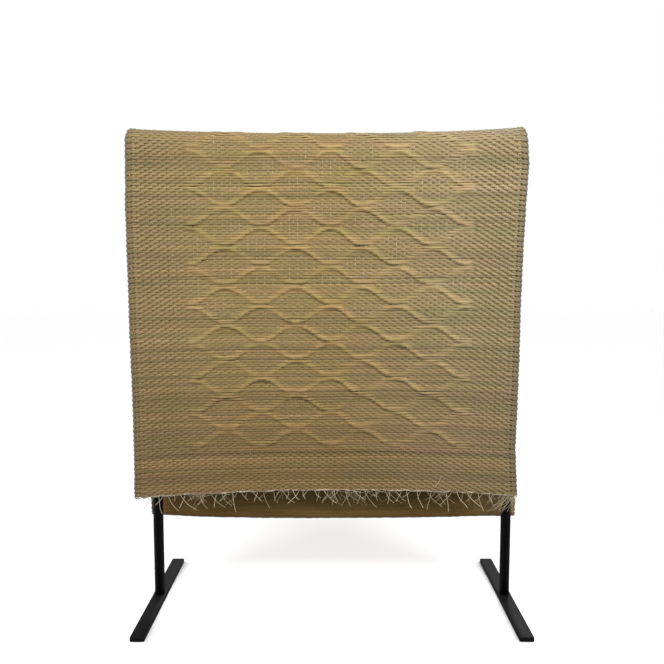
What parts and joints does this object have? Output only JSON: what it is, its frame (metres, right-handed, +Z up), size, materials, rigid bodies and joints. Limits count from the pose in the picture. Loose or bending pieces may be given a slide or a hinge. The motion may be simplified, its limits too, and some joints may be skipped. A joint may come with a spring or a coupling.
{
  "type": "woven rush mat draped over a tube stand",
  "caption": "Straw-coloured woven rush mat with a raised lattice and a cut fringe, hung over the top bar of a plain black tube stand.",
  "frame": {"origin": "on the floor, under the middle of the whole thing's box", "axes": "+Z up; -Y towards the viewer, where the long drop with the fringe hangs; +X to the viewer's right, along the top bar"},
  "size_m": [0.9145, 0.42, 1.1279],
  "materials": {
    "rush": "dry woven rush, straw to greenish brown",
    "warp_thread": "off-white twisted thread",
    "black_paint": "satin black powder coat"
  },
  "bodies": {
    "root": {"mat": "rush", "fringe": "warp_thread", "top_bar": "black_paint", "left_upright": "black_paint", "right_upright": "black_paint", "left_foot": "black_paint", "right_foot": "black_paint"}
  },
  "joints": []
}
